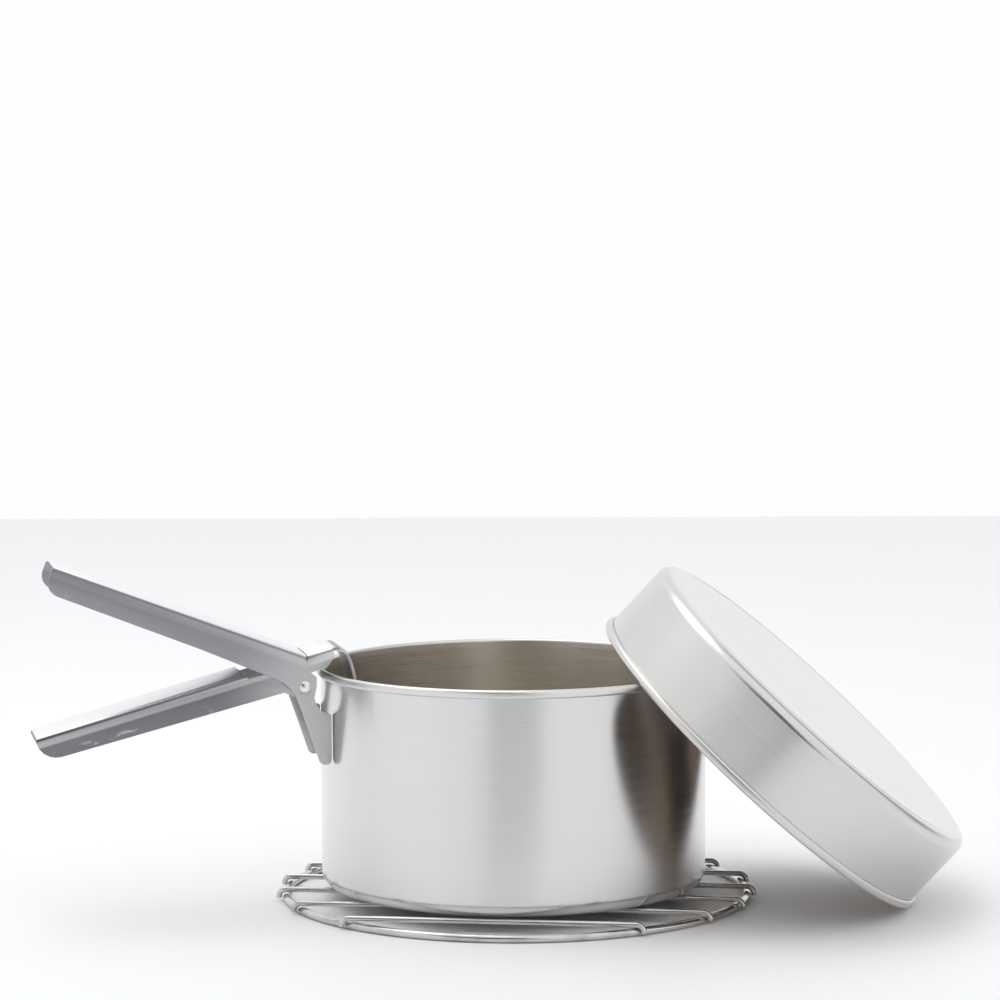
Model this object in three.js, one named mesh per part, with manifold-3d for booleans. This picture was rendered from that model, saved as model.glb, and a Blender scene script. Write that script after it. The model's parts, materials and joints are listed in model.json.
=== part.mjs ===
// Camping cook set: a pot on a raised wire grill, its pan (which is also the pot's lid) leaning on the
// pot, and a two-lever gripper hung on the pot's rim. Millimetres, +Z up, standing on the plane z = 0.
import * as THREE from "three";
import { mergeVertices } from "three/addons/utils/BufferGeometryUtils.js";
import Module from "manifold-3d";

// ---- driving dimensions -------------------------------------------------------------------------
const gap = 0.3; // clearance between pieces that touch
const turns = 72; // facets round every large circle

// grill: one ring of wire with parallel raised bars whose ends hook down over it
const ringRadius = 84.25; // centre line
const ringWire = 1.45; // wire radius
const barWire = 1.0;
const barCount = 7;
const barSpacing = 24;
const barShift = 3; // the row of bars is welded on a little off the ring's centre
const barTurn = -7.3; // degrees in plan
const barEndHeight = 1.1; // how far above the floor the hooked ends stop
const grillOffset = [1, 1]; // the pot stands a touch off the grill's centre

// pot
const potRadius = 70;
const potHeight = 80.1;
const sheet = 0.8; // steel thickness of pot and pan
const potCorner = 5;
const beadRadius = 1.15; // half the width of a rolled rim
const beadHeight = 3.2;

// pan, which turned over is the pot's lid
const lidFit = 1.1; // the pan slips over the pot's rim with this much room all round
const panDepth = 31.2;
const panCorner = 4;
const panRest = 0.7246; // how far above its middle, as a share of its radius, the leaning pan's rim
// lies level with the pot's, which sets how steeply it leans
const panTurn = -6.3; // degrees in plan, the way it leans

// gripper
const gripTurn = 12; // degrees in plan from the pot's -X side, towards -Y
const gripStandoff = 8.5; // rivet axis from the pot's wall
const gripLift = 4.45; // rivet axis below the rim's top
const gripWidth = 27;
const plate = 1.2; // aluminium thickness
const upperAngle = 21; // handle above level
const lowerAngle = -15.4; // handle below level
const webRise = 10.7; // rivet axis to the outer face of either lever's web
const upperLength = 99.2;
const lowerLength = 96.6;
const upperDepth = 9.6; // flange depth at the handle's end
const lowerDepth = 9.1;
const rivetRadius = 1.2;
const rivetHead = 2.15;
const rivetDome = 0.95;

// ---- derived levels -----------------------------------------------------------------------------
const barLevel = 2 * ringWire + gap + barWire; // bar centre line
const potBase = barLevel + barWire + gap;
const rimTop = potBase + potHeight;
const potBead = potRadius - sheet + beadRadius; // radius of the rim bead's centre line
const panRadius = potBead + beadRadius + lidFit + sheet;
const panBead = panRadius - sheet + beadRadius;
const gripReach = potRadius + gripStandoff;

// ---- helpers ------------------------------------------------------------------------------------
const wasm = await Module();
wasm.setup();
const rad = THREE.MathUtils.degToRad;

function solidOf(geometry) {
  const bare = geometry.clone();
  bare.deleteAttribute("normal");
  bare.deleteAttribute("uv");
  const g = mergeVertices(bare, 1e-4);
  return new wasm.Manifold(new wasm.Mesh({
    numProp: 3,
    vertProperties: g.attributes.position.array,
    triVerts: new Uint32Array(g.index.array),
  }));
}

function geometryOf(solid) {
  const m = solid.getMesh();
  const g = new THREE.BufferGeometry();
  g.setAttribute("position", new THREE.BufferAttribute(new Float32Array(m.vertProperties), 3));
  g.setIndex(new THREE.BufferAttribute(new Uint32Array(m.triVerts), 1));
  const flat = g.toNonIndexed();
  flat.computeVertexNormals();
  return flat;
}

// Points of a circular arc about (x, y), from angle a to b in degrees.
function arc(x, y, r, a, b, n) {
  const points = [];
  for (let i = 0; i <= n; i++) {
    const t = rad(a + ((b - a) * i) / n);
    points.push(new THREE.Vector2(x + r * Math.cos(t), y + r * Math.sin(t)));
  }
  return points;
}

// A (radius, height) profile turned round +Z.
function revolve(profile) {
  return new THREE.LatheGeometry(profile, turns).rotateX(Math.PI / 2);
}

// A pressed round vessel with its base at height 0, mouth up, and a solid rolled rim of which the
// inner side is flush with the wall.
function vessel(radius, height, corner) {
  const inner = radius - sheet;
  const bead = inner + beadRadius;
  const top = height - beadRadius;
  const low = height - beadHeight + beadRadius;
  const wrap = THREE.MathUtils.radToDeg(Math.acos((radius - bead) / beadRadius));
  return revolve([
    new THREE.Vector2(0, 0),
    ...arc(radius - corner, corner, corner, -90, 0, 6),
    ...arc(bead, low, beadRadius, -wrap, 0, 4),
    ...arc(bead, top, beadRadius, 0, 180, 6),
    ...arc(radius - corner, corner, corner - sheet, 0, -90, 4),
    new THREE.Vector2(0, sheet),
  ]);
}

// A line through given points that turns half way at each of them, as a mitred sweep needs.
class WirePath extends THREE.Curve {
  constructor(stops) {
    super();
    this.stops = stops;
  }
  getPoint(t, target = new THREE.Vector3()) {
    const last = this.stops.length - 1;
    const k = Math.min(Math.floor(t * last + 1e-9), last - 1);
    return target.lerpVectors(this.stops[k], this.stops[k + 1], t * last - k);
  }
  getPointAt(t, target) {
    return this.getPoint(t, target);
  }
  getTangent(t, target = new THREE.Vector3()) {
    const last = this.stops.length - 1;
    const k = Math.round(t * last);
    const after = this.stops[Math.min(k + 1, last)];
    return target.subVectors(after, this.stops[Math.max(k - 1, 0)]).normalize();
  }
  getTangentAt(t, target) {
    return this.getTangent(t, target);
  }
}

// Round wire along a path of straights and bends.
function wireAlong(path, radius) {
  const stops = [];
  for (const c of path.curves) {
    const n = c.isLineCurve3 ? 1 : 5;
    for (let k = stops.length ? 1 : 0; k <= n; k++) stops.push(c.getPoint(k / n));
  }
  const section = new THREE.Shape(arc(0, 0, radius, 0, 324, 9));
  const g = new THREE.ExtrudeGeometry(section, {
    steps: stops.length - 1,
    extrudePath: new WirePath(stops),
    bevelEnabled: false,
  });
  return g;
}

const pieces = [];
function piece(name, geometry, material) {
  const mesh = new THREE.Mesh(geometry, material);
  mesh.name = name;
  pieces.push(mesh);
  return mesh;
}
const metal = (color, roughness) =>
  new THREE.MeshStandardMaterial({ color, metalness: 1, roughness });

// ---- grill --------------------------------------------------------------------------------------
const grill = new THREE.Group();
grill.position.set(grillOffset[0], grillOffset[1], 0);

// The ring's wire has twelve sides with a flat one underneath, so it stands on a true face.
const sides = 12;
const ringSection = [];
for (let i = 0; i <= sides; i++) {
  const t = rad((360 / sides) * (i + 0.5));
  const r = ringWire / Math.cos(Math.PI / sides);
  ringSection.push(new THREE.Vector2(ringRadius + r * Math.cos(t), ringWire + r * Math.sin(t)));
}
grill.add(piece("grill_ring", revolve(ringSection), metal(0xd6d6d4, 0.18)));

// Each bar runs straight over the ring, then turns down outside it. A bar that crosses the ring at a
// slant runs on further, so that the wires stay clear of each other.
const bend = ringWire + gap + barWire;
for (let i = 0; i < barCount; i++) {
  const offset = barShift + (i - (barCount - 1) / 2) * barSpacing;
  const cross = Math.sqrt(ringRadius ** 2 - offset ** 2);
  const slant = ringRadius / cross;
  const half = cross + bend * slant;
  const r = bend - 0.2;
  const path = new THREE.CurvePath();
  const at = (x, z) => new THREE.Vector3(x, offset, z);
  path.add(new THREE.LineCurve3(at(-half, barEndHeight), at(-half, barLevel - r)));
  const corner = (side) => {
    const ends = [at(side * half, barLevel - r), at(side * (half - r), barLevel)];
    const k = 0.5523 * r;
    const pulls = [at(side * half, barLevel - r + k), at(side * (half - r + k), barLevel)];
    return side < 0
      ? new THREE.CubicBezierCurve3(ends[0], pulls[0], pulls[1], ends[1])
      : new THREE.CubicBezierCurve3(ends[1], pulls[1], pulls[0], ends[0]);
  };
  path.add(corner(-1));
  path.add(new THREE.LineCurve3(at(-half + r, barLevel), at(half - r, barLevel)));
  path.add(corner(1));
  path.add(new THREE.LineCurve3(at(half, barLevel - r), at(half, barEndHeight)));
  piece("grill_bar_" + (i + 1), wireAlong(path, barWire), metal(0xd6d6d4, 0.18));
  grill.add(pieces[pieces.length - 1]);
}
grill.rotation.z = rad(barTurn);

// ---- pot ----------------------------------------------------------------------------------------
const pot = piece("pot_shell", vessel(potRadius, potHeight, potCorner), metal(0xc9c8c5, 0.3));
pot.position.z = potBase;

// ---- pan ----------------------------------------------------------------------------------------
// The pan lies mouth down on its tilted axis. Its rim touches the floor at its lowest point and rests
// on the pot's rim at two points, so it is moved in from outside until the two beads are just clear.
const tilt = Math.asin(rimTop / (panBead * (1 + panRest)));
const panLevel =
  (panBead * Math.sin(tilt) - beadRadius * Math.cos(tilt)) + beadRadius; // rim plane's centre
function beadDistance(reach) {
  let least = Infinity;
  for (let i = 0; i < 720; i++) {
    const t = (Math.PI * i) / 360;
    const down = panBead * Math.cos(t);
    const x = reach + down * Math.cos(tilt) + beadRadius * Math.sin(tilt);
    const y = panBead * Math.sin(t);
    const z = panLevel - down * Math.sin(tilt) + beadRadius * Math.cos(tilt);
    const d = Math.hypot(Math.hypot(x, y) - potBead, z - (rimTop - beadRadius));
    least = Math.min(least, d);
  }
  return least;
}
let panReach = potRadius + 2 * panRadius;
while (panReach > 0 && beadDistance(panReach) > 2 * beadRadius + gap) panReach -= 0.02;

const pan = new THREE.Group();
const panShell = piece("pan_shell", vessel(panRadius, panDepth, panCorner), metal(0xd2d0cc, 0.28));
panShell.rotation.x = Math.PI; // mouth down
panShell.position.z = panDepth;
pan.add(panShell);
pan.position.set(panReach, 0, panLevel);
pan.rotation.y = tilt;
const panLean = new THREE.Group();
panLean.rotation.z = rad(panTurn);
panLean.add(pan);

// ---- gripper ------------------------------------------------------------------------------------
// Both levers are drawn in one upright plane with the rivet's axis at its origin, x towards the pot
// and z up, and are cut out of a folded channel by their side outline.
const inPlane = (points) => new THREE.Shape(points.map((p) => new THREE.Vector2(p[0], p[1])));

// A point u out along a handle and v above it.
function onHandle(angle, u, v) {
  const c = Math.cos(rad(angle));
  const s = Math.sin(rad(angle));
  return [-u * c + v * s, u * s + v * c];
}

// A side outline cut right across the gripper.
function across(shape, width) {
  const g = new THREE.ExtrudeGeometry(shape, {
    depth: width,
    bevelEnabled: false,
    curveSegments: 5,
  });
  return g.rotateX(Math.PI / 2).translate(0, width / 2, 0);
}

// A channel of sheet, web uppermost with rounded bends, lying along a handle from u = a to u = b.
function channel(angle, width, a, b) {
  const h = width / 2;
  const bendOut = 1.9;
  const bendIn = bendOut - plate;
  const deep = -44;
  const outer = [
    [h, deep],
    ...arc(h - bendOut, webRise - bendOut, bendOut, 0, 90, 4).map((p) => [p.x, p.y]),
    ...arc(-h + bendOut, webRise - bendOut, bendOut, 90, 180, 4).map((p) => [p.x, p.y]),
    [-h, deep],
    [-h + plate, deep],
    ...arc(-h + bendOut, webRise - bendOut, bendIn, 180, 90, 3).map((p) => [p.x, p.y]),
    ...arc(h - bendOut, webRise - bendOut, bendIn, 90, 0, 3).map((p) => [p.x, p.y]),
    [h - plate, deep],
  ];
  const g = new THREE.ExtrudeGeometry(inPlane(outer), { depth: b - a, bevelEnabled: false });
  const c = Math.cos(rad(angle));
  const s = Math.sin(rad(angle));
  const m = new THREE.Matrix4().makeBasis(
    new THREE.Vector3(0, 1, 0),
    new THREE.Vector3(s, 0, c),
    new THREE.Vector3(c, 0, -s),
  );
  m.setPosition(-b * c, 0, b * s);
  return g.applyMatrix4(m);
}

// Rounded lower corner and slightly rounded upper corner at a handle's free end.
function handleEnd(angle, length, low, r) {
  return [
    ...arc(length - r, low + r, r, -90, 0, 5).map((p) => onHandle(angle, p.x, p.y)),
    onHandle(angle, length, webRise - 1.5),
    onHandle(angle, length - 0.8, webRise),
    onHandle(angle, length - 1.2, webRise + 2),
  ];
}

const rivetHole = solidOf(
  new THREE.CylinderGeometry(rivetRadius + gap, rivetRadius + gap, gripWidth + 4, 20),
);

// Upper lever: handle above, and below the rivet two jaw plates that bear on the outside of the wall.
const jawEdge =
  gripReach - Math.sqrt(potRadius ** 2 - (gripWidth / 2 - plate) ** 2) - gap; // bears on the wall
const webEnd = 3.5; // where the upper web stops short of the rivet
const upperOutline = [
  onHandle(upperAngle, webEnd, webRise + 2),
  onHandle(upperAngle, webEnd, webRise - plate),
  [0.4, 7.6], [2.3, 4.9], [4.1, 3.4], [4.1, 0.6], [3.8, -1.2], [3.2, -3.9], [3.8, -6.1],
  [jawEdge - 3.9, -8.6], [jawEdge - 1.9, -9.7], [jawEdge - 0.4, -10], [jawEdge, -10.4],
  [jawEdge, -26.4], [jawEdge - 0.5, -27.7], [jawEdge - 1.3, -28.2], [jawEdge - 3, -28.2],
  [5, -27.2], [2.5, -19.7], [-1, -9.6], [-3.3, -3.2], [-5.3, -0.6], [-7.6, 1.6],
  [-10.6, 3.3],
  onHandle(upperAngle, 20, -0.5),
  onHandle(upperAngle, 40, 0.3),
  ...handleEnd(upperAngle, upperLength, webRise - upperDepth, 5),
];
const upper = wasm.Manifold.intersection(
  solidOf(channel(upperAngle, gripWidth, -24, upperLength)),
  solidOf(across(inPlane(upperOutline), gripWidth + 2)),
).subtract(rivetHole);

// Lower lever: nests between the upper lever's flanges. Its web is cut away round the upper web's
// end, starts again as the beak over the rim, and bends down inside the pot as a tongue.
const lowerWidth = gripWidth - 2 * (plate + gap);
const webStart = 19.5; // where the handle's web stops
// The beak's web begins just clear of the upper web's end, which stops the levers from opening more.
const spread = rad(upperAngle - lowerAngle);
const beakStart = (webEnd - gap - 0.03 - webRise * Math.sin(spread)) / Math.cos(spread);
const nose = [7.9, 6.3]; // lowest front corner of the beak's sides
const lowerOutline = [
  onHandle(lowerAngle, webStart + 0.8, webRise + 2),
  onHandle(lowerAngle, webStart + 0.4, webRise - 0.8),
  onHandle(lowerAngle, webStart - 1, webRise - 2.1),
  onHandle(lowerAngle, beakStart + 1.2, webRise - 2.1),
  onHandle(lowerAngle, beakStart, webRise - 1.4),
  onHandle(lowerAngle, beakStart, webRise + 2),
  onHandle(lowerAngle, -13.8, webRise + 2),
  [12.4, 12.6], nose, [2.4, 5], [3.3, 2.4], [3.1, -1.6], [1.2, -4], [-2.2, -4.2],
  [-7.4, -2],
  ...handleEnd(lowerAngle, lowerLength, webRise - lowerDepth, 7.4),
];

// Sheet of the plate's thickness following a smooth line through the given points of its outer face.
function sheetAlong(points, width) {
  const line = new THREE.SplineCurve(points.map((p) => new THREE.Vector2(p[0], p[1])));
  const n = 18;
  const outer = line.getPoints(n);
  const inner = outer.map((p, i) => {
    const along = line.getTangent(i / n);
    return new THREE.Vector2(p.x - plate * -along.y, p.y - plate * along.x);
  });
  return across(new THREE.Shape([...outer, ...inner.reverse()]), width);
}
const beakEdge = onHandle(lowerAngle, -12.6, webRise);
const tongue = [
  onHandle(lowerAngle, -8, webRise),
  ...[[0, 0], [4.8, -0.6], [6.9, -2.9], [8.5, -6.9], [9.6, -11.9], [9.4, -16.7], [7.6, -20.9],
    [4.9, -24.1]].map((p) => [beakEdge[0] + p[0], beakEdge[1] + p[1]]),
];
const lower = wasm.Manifold.intersection(
  solidOf(channel(lowerAngle, lowerWidth, -13.4, lowerLength)),
  solidOf(across(inPlane(lowerOutline), gripWidth + 2)),
).add(solidOf(sheetAlong(tongue, lowerWidth - 2.4))).subtract(rivetHole);

// One rivet right through, with a domed head outside each flange.
const shankEnd = gripWidth / 2 + gap;
const dome = arc(0, 0, 1, 0, 90, 5).map((p) => [p.x * rivetHead, p.y * rivetDome]);
const rivet = new THREE.LatheGeometry(
  [
    ...dome.map(([x, y]) => new THREE.Vector2(x, -shankEnd - y)).reverse(),
    new THREE.Vector2(rivetRadius, -shankEnd),
    new THREE.Vector2(rivetRadius, shankEnd),
    ...dome.map(([x, y]) => new THREE.Vector2(x, shankEnd + y)),
  ].map((p) => (Math.abs(p.x) < 1e-9 ? new THREE.Vector2(0, p.y) : p)),
  20,
);

const gripper = new THREE.Group();
gripper.add(piece("gripper_upper_lever", geometryOf(upper), metal(0xa9abb0, 0.42)));
gripper.add(piece("gripper_lower_lever", geometryOf(lower), metal(0x9ea0a8, 0.42)));
gripper.add(piece("gripper_rivet", rivet, metal(0xdcdcdc, 0.3)));
gripper.rotation.z = rad(gripTurn);
gripper.position.set(
  -gripReach * Math.cos(rad(gripTurn)),
  -gripReach * Math.sin(rad(gripTurn)),
  rimTop - gripLift,
);

// ---- assembly, centred on its footprint ---------------------------------------------------------
const cookSet = new THREE.Group();
cookSet.add(grill, pot, panLean, gripper);
cookSet.updateMatrixWorld(true);
const box = new THREE.Box3().setFromObject(cookSet, true);
cookSet.position.set(-(box.min.x + box.max.x) / 2, -(box.min.y + box.max.y) / 2, -box.min.z);
const part = new THREE.Group();
part.name = "camping_cook_set";
part.add(cookSet);
part.updateMatrixWorld(true);

export default part;
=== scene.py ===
"""Camping cook set: a spun steel pot on a raised wire grill, its shallow pan leaning on the pot,
and a two-lever aluminium gripper hung on the pot's rim. Metres, +Z up, in the packed model's
frame."""
import json
import math

import bmesh
import bpy
import numpy as np
from bpy.props import FloatProperty, FloatVectorProperty, IntProperty, PointerProperty
from mathutils import Matrix, Vector


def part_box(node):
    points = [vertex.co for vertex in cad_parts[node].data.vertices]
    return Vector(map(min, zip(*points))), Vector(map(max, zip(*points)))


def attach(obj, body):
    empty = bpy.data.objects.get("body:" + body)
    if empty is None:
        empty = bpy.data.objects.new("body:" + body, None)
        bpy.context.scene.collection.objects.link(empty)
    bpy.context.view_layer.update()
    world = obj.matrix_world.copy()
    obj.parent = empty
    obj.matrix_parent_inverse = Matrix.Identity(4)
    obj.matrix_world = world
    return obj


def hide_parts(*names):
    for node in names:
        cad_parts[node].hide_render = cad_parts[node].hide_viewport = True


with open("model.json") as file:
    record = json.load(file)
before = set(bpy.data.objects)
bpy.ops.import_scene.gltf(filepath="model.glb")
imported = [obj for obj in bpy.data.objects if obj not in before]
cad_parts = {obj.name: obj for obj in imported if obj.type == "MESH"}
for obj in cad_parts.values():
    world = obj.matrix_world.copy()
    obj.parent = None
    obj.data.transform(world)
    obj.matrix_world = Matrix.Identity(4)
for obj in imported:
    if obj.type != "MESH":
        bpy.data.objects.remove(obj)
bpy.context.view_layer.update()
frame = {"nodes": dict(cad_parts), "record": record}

bl_info = {
    "name": "Camping Cook Set",
    "version": (1, 0, 0),
    "blender": (4, 5, 0),
    "location": "3D View > Sidebar > Cook Set",
    "description": "Builds a pot, pan, wire grill and gripper around a packed model",
    "category": "Add Mesh",
}

RECORD = frame["record"]
JOINTS = {j["name"]: j for j in RECORD["behaviour"]["joints"]}
MOUNTS = {m["name"]: m for m in RECORD["mounts"]}
MM = 0.001
BRUSHED = 0.03 * MM     # height of the finest lines in a surface
CAMERA_AT = (0.001308, -1.277242, 0.25845)
CAMERA_PITCH, CAMERA_YAW, CAMERA_ROLL = (math.radians(a) for a in (5.07, -0.028, -0.185))
SENSOR = 36
LAMP_AT, LAMP_AIM, LAMP_SIZE = (-0.35, 0.12, 1.0), (0.03, 0, 0.03), 0.9
FLOOR_LOW, FLOOR_HIGH = (-1.5, -0.42), (1.5, 1.48)


# ---- where things are, from the packed model ----------------------------------------------------
def box_of(node):
    """The lowest and highest corner of a node at rest, as arrays."""
    low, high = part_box(node)
    return np.array(low), np.array(high)


POT_LOW, POT_HIGH = box_of("pot_shell")
POT_AXIS = (POT_LOW + POT_HIGH) / 2
RING_LOW, RING_HIGH = box_of("grill_ring")
RING_AXIS = (RING_LOW + RING_HIGH) / 2
PAN_BASE = np.array(MOUNTS["pan_base"]["pos_m"])
PAN_UP = np.array(MOUNTS["pan_base"]["axis"])
PIVOT = np.array(JOINTS["jaw_pivot"]["pos_m"])
PIVOT_AXIS = np.array(JOINTS["jaw_pivot"]["axis"])
TO_POT = np.array([PIVOT_AXIS[1], -PIVOT_AXIS[0], 0.0])


def basis(x, y, z, origin):
    """A 4 by 4 matrix whose columns are three axes and an origin."""
    m = np.eye(4)
    m[:3, 0], m[:3, 1], m[:3, 2], m[:3, 3] = x, y, z, origin
    return m


def level_at(origin, turn=0.0):
    """Upright axes at an origin, turned in plan."""
    c, s = math.cos(turn), math.sin(turn)
    return basis((c, s, 0), (-s, c, 0), (0, 0, 1), origin)


def upright_on(axis, origin):
    """Axes whose third is the given one and whose second is level."""
    z = axis / np.linalg.norm(axis)
    y = np.cross(z, [1.0, 0.0, 0.0]) if abs(z[2]) > 0.999 else np.cross([0.0, 0.0, 1.0], z)
    y /= np.linalg.norm(y)
    return basis(np.cross(y, z), y, z, origin)


def handle_axes(angle):
    """Axes of a handle: along it away from the pot, across it, and out of its web."""
    a = math.radians(angle)
    along = -TO_POT * math.cos(a) + np.array([0, 0, math.sin(a)])
    out = TO_POT * math.sin(a) + np.array([0, 0, math.cos(a)])
    return basis(along, np.cross(out, along), out, PIVOT)


# ---- sizes and colours --------------------------------------------------------------------------
def length(name, default, text):
    return FloatProperty(name=name, description=text, default=default * MM, unit="LENGTH",
                         precision=5, min=0.0)


def share(name, default, text):
    return FloatProperty(name=name, description=text, default=default, min=0.0, max=1.0,
                         subtype="FACTOR")


def turn(name, default, text):
    return FloatProperty(name=name, description=text, default=math.radians(default),
                         unit="ROTATION")


def colour(name, default, text):
    return FloatVectorProperty(name=name, description=text, default=default, size=3, min=0.0,
                               max=1.0, subtype="COLOR")


class VesselSizes(bpy.types.PropertyGroup):
    """Sizes that the pot and the pan share."""
    sheet: length("Sheet", 0.8, "Thickness of the steel")
    bead: length("Rim Radius", 1.15, "Half the width of the rolled rim")
    bead_height: length("Rim Height", 3.2, "Height of the rolled rim")
    slot: length("Rim Slot", 0.16, "Gap between the end of the rolled rim and the wall")
    turns: IntProperty(name="Turns", description="Faces round the vessel", default=240, min=24)


class PotLook(bpy.types.PropertyGroup):
    """The pot."""
    corner: length("Corner", 5.0, "Radius between wall and base")
    steel: colour("Steel", (0.735, 0.728, 0.72), "Colour of the outside")
    inside: colour("Inside", (0.735, 0.69, 0.625), "Colour of the inside, warmer from heat")
    roughness: share("Roughness", 0.235, "How soft the outside reflects")
    brushing: share("Brushing", 0.30, "Depth of the spun lines")


class PanLook(bpy.types.PropertyGroup):
    """The pan, which turned over is the pot's lid."""
    radius: length("Radius", 73.4, "Outside of the wall")
    depth: length("Depth", 31.2, "Rim to base")
    corner: length("Corner", 4.0, "Radius between wall and base")
    crease: length("Crease", 0.42, "Depth of the groove just inside the base's corner")
    steel: colour("Steel", (0.84, 0.83, 0.81), "Colour of the outside")
    inside: colour("Inside", (0.50, 0.44, 0.385), "Colour of the inside, browned by heat")
    wall: colour("Wall", (0.655, 0.65, 0.635), "Colour of the wall, duller than the base")
    roughness: share("Roughness", 0.23, "How soft the outside reflects")
    brushing: share("Brushing", 0.34, "Depth of the brushed lines")


class GrillLook(bpy.types.PropertyGroup):
    """The raised wire grill."""
    ring_wire: length("Ring Wire", 1.45, "Radius of the ring's wire")
    bar_wire: length("Bar Wire", 1.0, "Radius of the bars' wire")
    bar_end: length("Bar Ends", 1.1, "How far above the ground the bars' hooked ends stop")
    spacing: length("Spacing", 24.0, "Distance between bars")
    shift: FloatProperty(name="Shift", default=3 * MM, unit="LENGTH", precision=5,
                         description="How far the row of bars is off the ring's centre")
    bar_turn: turn("Turn", -7.3, "Turn of the bars in plan")
    bars: IntProperty(name="Bars", description="Number of bars", default=7, min=1, max=7)
    clearance: length("Clearance", 0.3, "Gap between bars and ring")
    steel: colour("Steel", (0.60, 0.59, 0.575), "Colour of the wire")
    roughness: share("Roughness", 0.12, "How soft the wire reflects")


class GripperLook(bpy.types.PropertyGroup):
    """The gripper's two levers and their rivet."""
    edge: length("Edge", 0.2, "Width of the rounding along cut edges")
    upper_angle: turn("Upper Handle", 21.0, "How far the upper handle stands above level")
    lower_angle: turn("Lower Handle", -15.4, "How far the lower handle hangs below level")
    aluminium: colour("Aluminium", (0.545, 0.545, 0.55), "Colour of the sheet round the rivet")
    # Darkened, this is also the colour of the painted shade along the levers' bend.
    handled: colour("Handles", (0.31, 0.312, 0.33), "Colour of the handles, dulled by use")
    # Also the colour of the painted highlight on the levers' webs and of the painted band on their
    # flanges.
    scuff_and_highlight: colour("Scuffed", (0.92, 0.92, 0.93), "Colour where the sheet is rubbed bare")
    roughness: share("Roughness", 0.40, "How soft the sheet reflects")
    rivet_radius: length("Rivet", 1.2, "Radius of the rivet's shank")
    rivet_head: length("Rivet Head", 2.15, "Radius of its heads")
    rivet_dome: length("Rivet Dome", 0.95, "Height of its heads")
    rivet_colour: colour("Rivet Colour", (0.86, 0.86, 0.86), "Colour of the rivet")


class StageLook(bpy.types.PropertyGroup):
    """Floor, light and camera."""
    floor: colour("Floor", (0.925, 0.927, 0.935), "Colour of the floor")
    surround: FloatProperty(name="Surround", description="Brightness of the white room",
                            default=1.0, min=0.0)
    band: share("Band", 0.88, "How much darker the room is behind the camera")
    key: FloatProperty(name="Key", description="Power of the soft light above on the left",
                       default=2.6, min=0.0, unit="POWER")
    lens: FloatProperty(name="Lens", description="Focal length", default=127.15, unit="CAMERA")


# ---- surfaces -----------------------------------------------------------------------------------
def arc(r, z, radius, start, end, steps):
    """Points of a circle's arc: the centre plus radius times the cosine and sine of an even run of
    angles, in degrees."""
    t = np.radians(np.linspace(start, end, steps + 1))
    return np.stack([r + radius * np.cos(t), z + radius * np.sin(t)], axis=1)


def straight(a, b, steps):
    """Points along a line, closer together near its ends: the share along it is a half less half
    the cosine of an even run from nought to half a turn."""
    s = (0.5 - 0.5 * np.cos(np.linspace(0, math.pi, steps + 1)))[:, None]
    return np.array(a) * (1 - s) + np.array(b) * s


def joined(*runs):
    """One profile out of several, without the points that two neighbours share."""
    p = np.concatenate(runs)
    keep = np.concatenate([[True], np.linalg.norm(np.diff(p, axis=0), axis=1) > 1e-7])
    return p[keep]


def revolved(profile, turns):
    """A profile of radius and height turned round the third axis: each point goes to radius times
    the cosine and sine of an even run of angles, at its height."""
    t = np.linspace(0, 2 * math.pi, turns, endpoint=False)
    r, z = profile[:, :1], profile[:, 1:]
    return np.stack([r * np.cos(t), r * np.sin(t), z + 0 * t], axis=2)


def swept(path, radii, side, around):
    """A round section carried along a path: each centre plus its radius times the cosine and sine
    of an even run of angles, in the plane of the path's side and of its direction crossed with
    that side."""
    way = np.gradient(path, axis=0)
    way /= np.linalg.norm(way, axis=1)[:, None]
    up = np.cross(way, side)
    up /= np.linalg.norm(up, axis=1)[:, None]
    t = np.linspace(0, 2 * math.pi, around, endpoint=False)[None, :, None]
    r = radii[:, None, None]
    return path[:, None, :] + r * (np.cos(t) * side + np.sin(t) * up[:, None, :])


def placed(points, matrix):
    """Points turned and moved by a matrix."""
    return points @ matrix[:3, :3].T + matrix[:3, 3]


def skin(name, grid, matrix, ring=False):
    """A mesh piece over a grid of points placed by a matrix, closed round its columns. Its rows
    close on each other in a ring, or else its first and last rows are single points."""
    rows, cols = grid.shape[:2]
    points = placed(grid.reshape(-1, 3), matrix)
    number = np.arange(rows * cols).reshape(rows, cols)
    if not ring:
        number[0], number[-1] = number[0, 0], number[-1, 0]
    beside = np.roll(number, -1, axis=1)
    quads = np.stack([number, beside, np.roll(beside, -1, axis=0), np.roll(number, -1, axis=0)],
                     axis=2)
    if ring:
        faces = quads.reshape(-1, 4).tolist()
    else:
        quads = quads[:-1]
        faces = (quads[0][:, [0, 2, 3]].tolist() + quads[-1][:, [0, 1, 2]].tolist()
                 + quads[1:-1].reshape(-1, 4).tolist())
        spare = np.concatenate([np.arange(1, cols), np.arange((rows - 1) * cols + 1, rows * cols)])
        keep = np.ones(rows * cols, bool)
        keep[spare] = False
        renumber = np.cumsum(keep) - 1
        faces = [[int(renumber[i]) for i in f] for f in faces]
        points = points[keep]
    mesh = bpy.data.meshes.new(name)
    mesh.from_pydata(points.tolist(), [], faces)
    mesh.polygons.foreach_set("use_smooth", np.ones(len(mesh.polygons), bool))
    mesh.update()
    piece = bpy.data.objects.new(name, mesh)
    bpy.context.scene.collection.objects.link(piece)
    return piece


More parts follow.
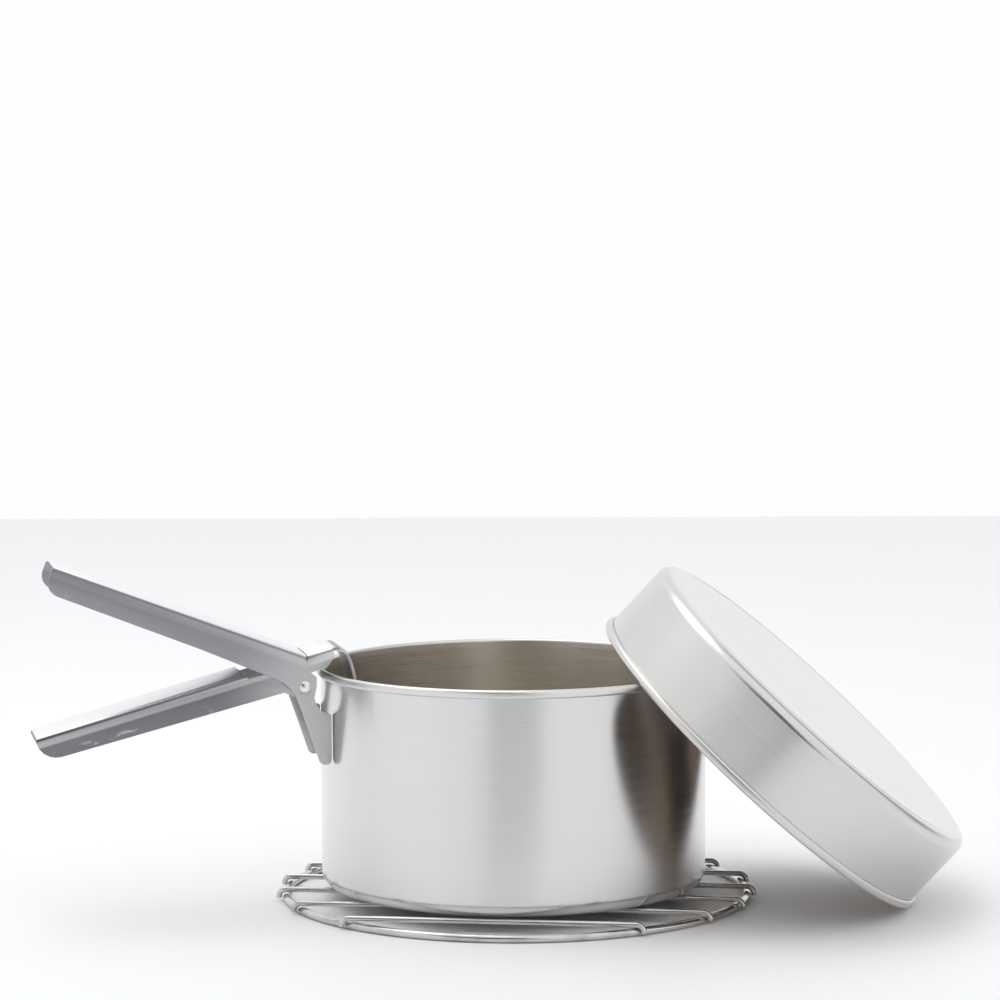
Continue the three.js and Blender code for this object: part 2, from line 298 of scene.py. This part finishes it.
def vessel(radius, height, corner, common, crease=0.0):
    """Profile of a pressed vessel with its base at height nought: base, corner, wall, the rolled
    rim with the slot under it, and back down the inside. A crease adds a bell-shaped dip to the
    base: its depth times e to minus the square of the distance from its middle over its width."""
    sheet, bead = common.sheet, common.bead
    inner = radius - sheet
    mid = inner + bead
    top, low = height - bead, height - common.bead_height + bead
    flat = radius - corner
    slot_top = low - bead * math.sin(math.acos((radius - mid) / bead)) + 0.3 * MM
    lip = math.degrees(math.acos((radius + common.slot - mid) / bead))
    middle, width = flat - 1.3 * MM, 0.5 * MM
    edge = flat - 5 * MM
    base = joined(straight((0, 0), (edge, 0), 14), straight((edge, 0), (flat, 0), 40))
    base[:, 1] += crease * np.exp(-(((base[:, 0] - middle) / width) ** 2))
    return joined(
        base,
        arc(flat, corner, corner, -90, 0, 14),
        straight((radius, corner), (radius, slot_top), 26),
        straight((radius, slot_top), (radius + common.slot, slot_top), 2),
        arc(mid, low, bead, -lip, 0, 8),
        straight((mid + bead, low), (mid + bead, top), 3),
        arc(mid, top, bead, 0, 180, 18),
        straight((inner, top), (inner, corner), 26),
        arc(flat, corner, corner - sheet, 0, -90, 10),
        straight((flat, sheet), (0, sheet), 16),
    )


# ---- materials ----------------------------------------------------------------------------------
class Value:
    """One output of a tree's nodes. Sums, differences, products and quotients add Math nodes."""

    def __init__(self, tree, socket):
        self.tree, self.socket = tree, socket

    def math(self, operation, *inputs):
        inputs = dict(enumerate(inputs))
        return self.tree.node("ShaderNodeMath", {"operation": operation}, inputs)

    def __add__(self, other): return self.math("ADD", self, other)
    def __sub__(self, other): return self.math("SUBTRACT", self, other)
    def __rsub__(self, other): return self.math("SUBTRACT", other, self)
    def __mul__(self, other): return self.math("MULTIPLY", self, other)
    def __truediv__(self, other): return self.math("DIVIDE", self, other)
    __radd__, __rmul__ = __add__, __mul__

    def root(self): return self.math("SQRT", self)
    def size(self): return self.math("ABSOLUTE", self)
    def above_nought(self): return self.math("MAXIMUM", self, 0.0)

    def rise(self, low, high):
        """Nought up to low, one from high, smooth between them."""
        return self.tree.node(
            "ShaderNodeMapRange", {"interpolation_type": "SMOOTHSTEP"},
            {"Value": self, "From Min": low, "From Max": high}, "Result")


class Nodes:
    """The node tree of a material or of the world."""

    def __init__(self, tree):
        self.tree = tree
        tree.nodes.clear()

    def node(self, kind, settings=None, inputs=None, output=0):
        """Adds any node: its settings are set first, then its sockets are set or linked."""
        made = self.tree.nodes.new(kind)
        for key, value in (settings or {}).items():
            setattr(made, key, value)
        for key, value in (inputs or {}).items():
            if isinstance(value, Value):
                self.tree.links.new(value.socket, made.inputs[key])
            else:
                made.inputs[key].default_value = value
        return Value(self, made.outputs[output]) if made.outputs else made

    def local(self, matrix):
        """The piece's own coordinates: the three distances along the axes of a matrix."""
        place = Matrix(matrix.tolist())
        where = self.node("ShaderNodeTexCoord", output="Object")
        turned = self.node(
            "ShaderNodeMapping", {"vector_type": "TEXTURE"},
            {"Vector": where, "Location": place.to_translation(),
             "Rotation": place.to_3x3().to_euler()})
        return self.parts(turned)

    def parts(self, vector):
        return [self.node("ShaderNodeSeparateXYZ", None, {0: vector}, i) for i in range(3)]

    def vector(self, x, y, z):
        return self.node("ShaderNodeCombineXYZ", None, {0: x, 1: y, 2: z})

    def noise(self, vector, scale, detail=2.0, rough=0.5):
        return self.node("ShaderNodeTexNoise", None, {
            "Vector": vector, "Scale": scale, "Detail": detail, "Roughness": rough})

    def blend(self, factor, a, b):
        """From colour a to colour b as the factor goes from nought to one."""
        inputs = {"Factor": factor, 6: a, 7: b}
        return self.node("ShaderNodeMix", {"data_type": "RGBA"}, inputs, 2)

    def bump(self, height, strength, distance):
        return self.node("ShaderNodeBump", None, {
            "Height": height, "Strength": strength, "Distance": distance}, "Normal")


def tinted(rgb, factor=1.0):
    return (*[min(1.0, c * factor) for c in rgb], 1.0)


def metal(name, build):
    """A metal material whose build function gives the sockets of the main shader."""
    made = bpy.data.materials.new(name)
    made.use_nodes = True
    t = Nodes(made.node_tree)
    shader = t.node("ShaderNodeBsdfPrincipled", None, {"Metallic": 1.0, **build(t)})
    t.node("ShaderNodeOutputMaterial", None, {0: shader})
    return made


def spun(t, matrix, fine):
    """Distances and noises of a turned piece: radius, height, fine rings, broad rings and clouds.
    Rings are noise that runs slowly round the axis and fast across the line of the profile."""
    x, y, z = t.local(matrix)
    r = (x * x + y * y).root()
    across = z + r
    ux, uy = x / (r + 1e-5), y / (r + 1e-5)
    rings = t.noise(t.vector(ux * 1.6, uy * 1.6, across * fine), 1.0, 2.0, 0.6)
    broad = t.noise(t.vector(ux * 0.5, uy * 0.5, across * (fine * 0.14)), 1.0, 1.0, 0.5)
    clouds = t.noise(t.vector(x, y, z), 22.0, 3.0, 0.55)
    return r, z, rings, broad, clouds


def within(r, height, radius, corner, sheet):
    """One on the inside of a vessel and nought on its outside: how deep a point lies under the
    outer face, which is the corner's radius less the distance from the corner's centre, where
    that distance counts only what is beyond the centre."""
    beyond = (r - (radius - corner)).above_nought()
    below = (corner - height).above_nought()
    return (corner - (beyond * beyond + below * below).root()).rise(0.58 * sheet, 0.85 * sheet)


def pot_size(common):
    """The pot's wall radius and height, from its packed box."""
    radius = (POT_HIGH[0] - POT_LOW[0]) / 2 - 2 * common.bead + common.sheet
    return radius, POT_HIGH[2] - POT_LOW[2]


def pot_steel(look, common, matrix):
    def build(t):
        radius, height = pot_size(common)
        r, z, rings, broad, clouds = spun(t, matrix, 1300.0)
        inside = within(r, z, radius, look.corner, common.sheet)
        rim = z.rise(height - common.bead_height, height - common.bead_height + 0.6 * MM)
        tone = rings * 0.10 + broad * 0.10 + clouds * 0.10
        outer = t.blend(tone * 3.2, tinted(look.steel, 0.93), tinted(look.steel, 1.05))
        inner = t.blend(broad * 0.7 + rings * 0.3, tinted(look.inside, 0.90),
                        tinted(look.inside, 1.08))
        base = t.blend(inside, outer, inner)
        worn = clouds.rise(0.55, 0.75) * 0.03
        rough = look.roughness + (rings - 0.5) * 0.10 + worn + inside * 0.05 + rim * 0.06
        lines = (rings * 0.75 + broad * 0.5) * (1 - inside * 0.6)
        return {"Base Color": base, "Roughness": rough, "Anisotropic": 0.55,
                "Anisotropic Rotation": 0.25, "Normal": t.bump(lines, look.brushing, BRUSHED)}
    return metal("pot_steel", build)


def pan_steel(look, common, matrix):
    def build(t):
        r, z, rings, broad, clouds = spun(t, matrix, 1200.0)
        inside = within(r, look.depth - z, look.radius, look.corner, common.sheet)
        rim = 1 - z.rise(common.bead_height - 0.6 * MM, common.bead_height)
        tone = rings * 0.10 + broad * 0.10 + clouds * 0.10
        outer = t.blend(tone * 3.2, tinted(look.steel, 0.93), tinted(look.steel, 1.06))
        wall = r.rise(look.radius - look.corner, look.radius - 0.3 * look.corner)
        walled = t.blend(wall, outer, tinted(look.wall))
        base = t.blend(inside, t.blend(tone * 1.1, walled, outer), tinted(look.inside))
        worn = clouds.rise(0.55, 0.75) * 0.04
        rough = look.roughness + (rings - 0.5) * 0.10 + worn + rim * 0.06
        return {"Base Color": base, "Roughness": rough,
                "Normal": t.bump(rings * 0.8 + broad * 0.4, look.brushing, BRUSHED)}
    return metal("pan_steel", build)


def wire_steel(look):
    def build(t):
        x, y, z = t.local(level_at((*RING_AXIS[:2], 0), look.bar_turn))
        drawn = t.noise(t.vector(x * 60, y * 2200, z * 2200), 1.0, 2.0)
        stain = t.noise(t.vector(x, y, z), 70.0, 3.0, 0.6)
        base = t.blend(stain.rise(0.42, 0.70), tinted(look.steel, 1.05), tinted(look.steel, 0.80))
        rough = look.roughness + (drawn - 0.5) * 0.08 + stain.rise(0.5, 0.8) * 0.10
        return {"Base Color": base, "Roughness": rough,
                "Normal": t.bump(drawn + stain * 0.6, 0.15, BRUSHED)}
    return metal("grill_wire", build)


def sheet_aluminium(name, look, angle, low_edge, dark, band):
    """Dull pressed sheet: streaks along the handle, small dents, and scuffs by its lower edge.
    Light is painted in as well: a near-white painted highlight on the web, a lighter painted band
    on the flange, and painted shade along the bend; dark darkens the handles, as painted shade on
    the lower lever, and band sets the strength of the painted band and of the scuffs.
    """
    def build(t):
        along, across, out = t.local(handle_axes(math.degrees(angle)))
        streak = t.noise(t.vector(along * 26, across * 900, out * 900), 1.0, 3.0, 0.6)
        grain = t.noise(t.vector(along * 220, across * 2400, out * 2400), 1.0, 2.0)
        patch = t.noise(t.vector(along, across, out * 2.5), 95.0, 3.0, 0.6)
        # Painted highlight: the web's top face is painted near white, standing in for its bright
        # reflection.
        web = out.rise(9.9 * MM, 10.3 * MM)
        near_edge = 1 - out.rise(low_edge, low_edge + 3.6 * MM)
        handle = along.rise(-4 * MM, 34 * MM)
        scuff = patch.rise(0.56, 0.66) * streak.rise(0.40, 0.58) * near_edge \
            * along.rise(14 * MM, 30 * MM)
        soft = (streak - 0.5) * 0.16 + (patch - 0.5) * 0.42
        # dark scales the handles' colour; below one, on the lower lever, it is painted shade.
        dull = t.blend(handle, tinted(look.aluminium), tinted(look.handled, dark))
        worn = t.blend(soft + 0.5, t.blend(0.14, dull, (0, 0, 0, 1)),
                       t.blend(0.10, dull, tinted(look.scuff_and_highlight)))
        # Painted highlight: a lighter band across the flange, its strength set by band.
        lit = out.rise(6.3 * MM, 7.2 * MM) * (1 - out.rise(8.9 * MM, 9.4 * MM)) * band
        # Painted shade: the bend between flange and web is darkened.
        painted_bend_shade = out.rise(9.0 * MM, 9.5 * MM) * (1 - out.rise(9.9 * MM, 10.3 * MM))
        with_painted_band = t.blend(lit * 0.42, worn, tinted(look.scuff_and_highlight))
        # Mixes in the painted shade along the bend, towards a dark handle colour.
        folded = t.blend(painted_bend_shade * 0.45, with_painted_band, tinted(look.handled, 0.4))
        # Scuffs near the lower edge are real wear; the web's share here is the painted highlight.
        base = t.blend(scuff * (0.15 + 0.55 * band) + web * 0.97, folded, tinted(look.scuff_and_highlight))
        rough = look.roughness + (grain - 0.5) * 0.14 + (patch - 0.5) * 0.10 + scuff * 0.10
        return {"Base Color": base, "Roughness": rough,
                "Normal": t.bump(streak * 0.6 + grain * 0.4 + patch * 0.5, 0.28, 0.05 * MM)}
    return metal(name, build)


def rivet_aluminium(look):
    def build(t):
        x, y, z = t.local(upright_on(PIVOT_AXIS, PIVOT))
        dents = t.noise(t.vector(x, y, z), 1400.0, 2.0)
        tint = t.blend(dents.rise(0.35, 0.7), tinted(look.rivet_colour, 0.86),
                       tinted(look.rivet_colour, 1.05))
        return {"Base Color": tint, "Roughness": 0.26 + (dents - 0.5) * 0.18,
                "Normal": t.bump(dents, 0.22, 0.06 * MM)}
    return metal("rivet_aluminium", build)


# ---- pieces -------------------------------------------------------------------------------------
def finish_piece(piece, material, body, slot, *nodes):
    """Gives a piece its material, the body it rides on and the nodes it stands for; its slot is not
    used.
    """
    piece.data.materials.clear()
    piece.data.materials.append(material)
    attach(piece, body)
    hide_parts(*nodes)


class BuildPot(bpy.types.Operator):
    """Builds the pot as one turned surface"""
    bl_idname = "cookset.pot"
    bl_label = "Pot"

    def execute(self, context):
        common, look = context.scene.cookset_vessels, context.scene.cookset_pot
        place = level_at((*POT_AXIS[:2], POT_LOW[2]))
        profile = vessel(*pot_size(common), look.corner, common)
        pot = skin("pot", revolved(profile, common.turns), place)
        finish_piece(pot, pot_steel(look, common, place), "pot", "pot_steel", "pot_shell")
        return {"FINISHED"}


class BuildPan(bpy.types.Operator):
    """Builds the pan as one turned surface, mouth down on its leaning axis"""
    bl_idname = "cookset.pan"
    bl_label = "Pan"

    def execute(self, context):
        common, look = context.scene.cookset_vessels, context.scene.cookset_pan
        up = upright_on(PAN_UP, PAN_BASE - PAN_UP / np.linalg.norm(PAN_UP) * look.depth)
        profile = vessel(look.radius, look.depth, look.corner, common, look.crease)
        grid = revolved(profile, common.turns)
        turned_over = grid * np.array([1, -1, -1]) + np.array([0, 0, look.depth])
        pan = skin("pan", turned_over, up)
        finish_piece(pan, pan_steel(look, common, up), "pan", "pan_steel", "pan_shell")
        return {"FINISHED"}


class BuildGrill(bpy.types.Operator):
    """Builds the grill's ring and its hooked bars"""
    bl_idname = "cookset.grill"
    bl_label = "Grill"

    def execute(self, context):
        look = context.scene.cookset_grill
        steel = wire_steel(look)
        ring_radius = (RING_HIGH[0] - RING_LOW[0]) / 2 - look.ring_wire
        centre = (*RING_AXIS[:2], 0)
        section = arc(ring_radius, look.ring_wire, look.ring_wire, 0, 360, 24)[:-1]
        ring = skin("ring", revolved(section, 288), level_at(centre), ring=True)
        finish_piece(ring, steel, "grill", "grill_wire", "grill_ring")
        for i in range(look.bars):
            bar = self.bar(look, ring_radius, centre, i)
            finish_piece(bar, steel, "grill", "grill_wire", f"grill_bar_{i + 1}")
        return {"FINISHED"}

    def bar(self, look, ring_radius, centre, i):
        """One bar: level across the ring, then a quarter turn down at each end, its cut ends
        rounded by radii that follow a quarter circle."""
        offset = look.shift + (i - (look.bars - 1) / 2) * look.spacing
        cross = math.sqrt(ring_radius ** 2 - offset ** 2)
        bend = look.ring_wire + look.clearance + look.bar_wire
        half = cross + bend * ring_radius / cross
        level = 2 * look.ring_wire + look.clearance + look.bar_wire
        r = bend - 0.2 * MM
        down = arc(half - r, level - r, r, 0, 90, 12)
        tip = 0.35 * MM
        leg = straight((half, look.bar_end + tip), (half, level - r), 5)
        across = straight((half - r, level), (-(half - r), level), 40)
        body = joined(leg, down, across, down[::-1] * [-1, 1], leg[::-1] * [-1, 1])
        t = np.linspace(0, math.pi / 2, 5)[::-1]
        cap = np.stack([0 * t + half, look.bar_end + tip - tip * np.sin(t)], axis=1)[:-1]
        line = np.concatenate([cap, body, cap[::-1] * [-1, 1]])
        small = look.bar_wire * (1 - 0.35 * (1 - np.cos(t)))[:-1]
        small[0] = 0
        radii = np.concatenate([small, np.full(len(body), look.bar_wire), small[::-1]])
        path = np.stack([line[:, 0], 0 * line[:, 0] + offset, line[:, 1]], axis=1)
        grid = swept(path, radii, np.array([0.0, 1.0, 0.0]), 20)
        return skin(f"bar_{i + 1}", grid, level_at(centre, look.bar_turn))


class BuildGripper(bpy.types.Operator):
    """Builds the gripper's two levers and its rivet"""
    bl_idname = "cookset.gripper"
    bl_label = "Gripper"

    def execute(self, context):
        look = context.scene.cookset_gripper
        upper = self.lever("upper_lever", "gripper_upper_lever", look)
        lower = self.lever("lower_lever", "gripper_lower_lever", look)
        # The lower lever's sheet is a darker copy (0.62) as painted shade and carries the full
        # painted flange band; the upper one gets a quarter of that band and fewer scuffs.
        above = sheet_aluminium("upper_sheet", look, look.upper_angle, 1.1 * MM, 1.0, 0.25)
        below = sheet_aluminium("lower_sheet", look, look.lower_angle, 1.6 * MM, 0.62, 1.0)
        finish_piece(upper, above, "gripper", "lever_aluminium", "gripper_upper_lever")
        finish_piece(lower, below, "gripper_lever", "lever_aluminium", "gripper_lower_lever")
        rivet = self.rivet(look)
        finish_piece(rivet, rivet_aluminium(look), "gripper", "rivet_aluminium", "gripper_rivet")
        return {"FINISHED"}

    def rivet(self, look):
        """The rivet: a shank, and a domed head at each end with a thin straight rim under it."""
        low, high = box_of("gripper_rivet")
        lean = abs(PIVOT_AXIS[1])
        wide = 2 * look.rivet_head * math.sqrt(1 - lean ** 2)
        end = ((high - low)[1] - wide) / lean / 2 - look.rivet_dome
        rim = 0.15 * MM
        head = arc(0, 0, 1.0, 0, 90, 14) * [look.rivet_head, look.rivet_dome - rim] + [0, end + rim]
        shank, under = look.rivet_radius, look.rivet_head - 0.1 * MM
        top = joined(straight((shank, 0), (shank, end), 4),
                     straight((shank, end), (under, end), 4), head)
        profile = joined(top[::-1] * [1, -1], top)
        return skin("rivet", revolved(profile, 48), upright_on(PIVOT_AXIS, PIVOT))

    def lever(self, name, node, look):
        """A lever's folded sheet, its flat faces joined up and its cut edges rounded."""
        mesh = bpy.data.meshes.new(name)
        work = bmesh.new()
        work.from_mesh(frame["nodes"][node].data)
        bmesh.ops.remove_doubles(work, verts=work.verts, dist=0.002 * MM)
        bmesh.ops.dissolve_limit(work, angle_limit=math.radians(0.6), verts=work.verts,
                                 edges=work.edges)
        for face in work.faces:
            face.smooth = True
        work.to_mesh(mesh)
        work.free()
        lever = bpy.data.objects.new(name, mesh)
        bpy.context.scene.collection.objects.link(lever)
        rounding = lever.modifiers.new("edge", "BEVEL")
        rounding.width, rounding.segments = look.edge, 3
        rounding.limit_method, rounding.angle_limit = "ANGLE", math.radians(34)
        rounding.harden_normals = True
        rounding.miter_outer = "MITER_ARC"
        return lever


class BuildStage(bpy.types.Operator):
    """Makes the floor, the soft light and the camera"""
    bl_idname = "cookset.stage"
    bl_label = "Stage"

    def execute(self, context):
        look = context.scene.cookset_stage
        self.floor(context, look)
        self.room(context, look)
        self.lamp(context, look)
        self.camera(context, look)
        context.scene.view_settings.view_transform = "Standard"
        return {"FINISHED"}

    def floor(self, context, look):
        """A flat sheet of pale paper."""
        (x0, y0), (x1, y1) = FLOOR_LOW, FLOOR_HIGH
        mesh = bpy.data.meshes.new("floor")
        mesh.from_pydata([(x0, y0, 0), (x1, y0, 0), (x1, y1, 0), (x0, y1, 0)], [], [(0, 1, 2, 3)])
        floor = bpy.data.objects.new("floor", mesh)
        context.scene.collection.objects.link(floor)
        paper = bpy.data.materials.new("paper")
        paper.use_nodes = True
        t = Nodes(paper.node_tree)
        fibre = t.noise(t.vector(*t.local(np.eye(4))), 900.0, 2.0)
        shader = t.node("ShaderNodeBsdfPrincipled", None, {
            "Base Color": t.blend(fibre, tinted(look.floor, 0.99), tinted(look.floor, 1.01)),
            "Roughness": 0.55, "Specular IOR Level": 0.35})
        t.node("ShaderNodeOutputMaterial", None, {0: shader})
        mesh.materials.append(paper)

    def room(self, context, look):
        """A white room with soft dark upright bands for the metal to reflect: a strong one by the
        camera, a faint one on the left and a middling one on the right. It is even white where the
        camera sees it."""
        world = bpy.data.worlds.new("room")
        context.scene.world = world
        world.use_nodes = True
        t = Nodes(world.node_tree)
        x, y, z = t.parts(t.node("ShaderNodeTexCoord", output="Generated"))
        facing = t.node("ShaderNodeMath", {"operation": "ARCTAN2"}, {0: x, 1: y * -1.0})

        def dark(off, full, none):
            return 1 - off.rise(math.radians(full), math.radians(none))

        front = (facing + z * 0.75 + 0.01).size() - z.rise(0.0, 0.5) * 0.16
        left = (facing + math.radians(97)).size()
        right = (facing - math.radians(118)).size()
        band = dark(front, 11, 20) * z.rise(-0.16, -0.04) * (1 - z.rise(0.40, 0.75))
        strips = dark(left, 5, 24) * (1 - z.rise(0.1, 0.5)) * 0.30 + dark(right, 6, 22) * 0.55
        cloth = t.noise(t.vector(x, y, z * 0.2), 3.2, 2.0)
        bright = (1 - band * look.band - strips + (cloth - 0.5) * 0.22) \
            * (0.96 + z.rise(0.2, 0.9) * 0.08)
        seen = t.node("ShaderNodeLightPath", output="Is Camera Ray")
        light = t.node("ShaderNodeBackground", None, {
            "Color": (0.985, 0.99, 1, 1),
            "Strength": bright * look.surround * (1 - seen) + seen})
        t.node("ShaderNodeOutputWorld", None, {0: light})

    def lamp(self, context, look):
        """The soft light above on the left."""
        lamp = bpy.data.lights.new("key", "AREA")
        lamp.energy, lamp.shape, lamp.size = look.key, "DISK", LAMP_SIZE
        key = bpy.data.objects.new("key", lamp)
        context.scene.collection.objects.link(key)
        key.location = LAMP_AT
        key.rotation_mode = "QUATERNION"
        key.rotation_quaternion = (Vector(LAMP_AIM) - key.location).to_track_quat("-Z", "Y")

    def camera(self, context, look):
        """The camera, its axes worked out from how far it looks down, to the side and askew."""
        pitch, yaw, roll = CAMERA_PITCH, CAMERA_YAW, CAMERA_ROLL
        ahead = np.array([math.sin(yaw) * math.cos(pitch), math.cos(yaw) * math.cos(pitch),
                          -math.sin(pitch)])
        level = np.array([math.cos(yaw), -math.sin(yaw), 0])
        over = np.cross(level, ahead)
        right = math.cos(roll) * level + math.sin(roll) * over
        up = -math.sin(roll) * level + math.cos(roll) * over
        data = bpy.data.cameras.new("camera")
        data.lens, data.sensor_width = look.lens, SENSOR
        camera = bpy.data.objects.new("camera", data)
        context.scene.collection.objects.link(camera)
        camera.matrix_world = Matrix(basis(right, up, -ahead, CAMERA_AT).tolist())
        context.scene.camera = camera


# ---- panel and registration ---------------------------------------------------------------------
LOOKS = {"cookset_vessels": VesselSizes, "cookset_pot": PotLook, "cookset_pan": PanLook,
         "cookset_grill": GrillLook, "cookset_gripper": GripperLook, "cookset_stage": StageLook}
BUILDERS = (BuildPot, BuildPan, BuildGrill, BuildGripper, BuildStage)


class CookSetPanel(bpy.types.Panel):
    """Lists every builder with its sizes and colours"""
    bl_idname = "COOKSET_PT_panel"
    bl_label = "Cook Set"
    bl_space_type = "VIEW_3D"
    bl_region_type = "UI"
    bl_category = "Cook Set"

    def draw(self, context):
        for builder in BUILDERS:
            self.layout.operator(builder.bl_idname)
        for key, look in LOOKS.items():
            box = self.layout.box()
            box.label(text=look.__doc__)
            for name in look.__annotations__:
                box.prop(getattr(context.scene, key), name)


def register():
    for made in (*LOOKS.values(), *BUILDERS, CookSetPanel):
        bpy.utils.register_class(made)
    for key, look in LOOKS.items():
        setattr(bpy.types.Scene, key, PointerProperty(type=look))


def unregister():
    for key in LOOKS:
        delattr(bpy.types.Scene, key)
    for made in reversed((*LOOKS.values(), *BUILDERS, CookSetPanel)):
        bpy.utils.unregister_class(made)


def main():
    register()
    bpy.ops.cookset.stage()
    bpy.ops.cookset.pot()
    bpy.ops.cookset.pan()
    bpy.ops.cookset.grill()
    bpy.ops.cookset.gripper()


if __name__ == "__main__":
    main()
